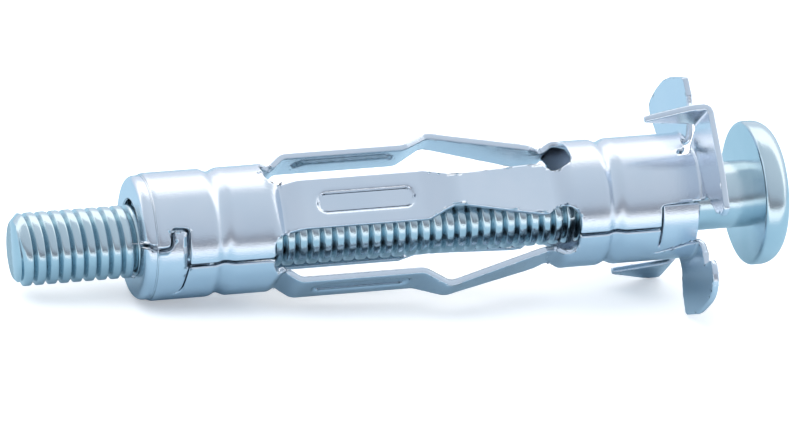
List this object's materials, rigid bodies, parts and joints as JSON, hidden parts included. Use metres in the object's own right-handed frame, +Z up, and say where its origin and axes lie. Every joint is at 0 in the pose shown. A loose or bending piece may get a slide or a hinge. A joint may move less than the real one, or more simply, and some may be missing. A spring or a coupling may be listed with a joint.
{
  "type": "hollow wall anchor",
  "caption": "Rolled steel expansion sleeve with flanged petals and a crimped nut, drawn up by a pan head machine screw to clamp behind a hollow wall.",
  "frame": {"origin": "centre of the wall hole's mouth: the screw's axis where it crosses the wall side of the petals", "axes": "+X towards the screw head and level, +Z up, the seam towards -Y; the anchor lies at rest, so its axis rises towards the head"},
  "size_m": [0.0638, 0.017, 0.0184],
  "materials": {
    "sleeve_zinc": "blue-white zinc plating on pressed sheet steel, bright on the bends and cut edges",
    "nut_zinc": "blue-white zinc plating on a turned nut",
    "screw_zinc": "blue-white zinc plating on a rolled thread and a headed blank"
  },
  "bodies": {
    "anchor_sleeve": {"sleeve": "sleeve_zinc", "nut": "nut_zinc"},
    "anchor_screw": {"screw": "screw_zinc"}
  },
  "joints": [
    {"name": "screw_travel", "type": "slide", "parent": "anchor_sleeve", "child": "anchor_screw", "axis": [0.9956, 0, 0.0932], "range_m": [-0.0045, 0.058]}
  ]
}
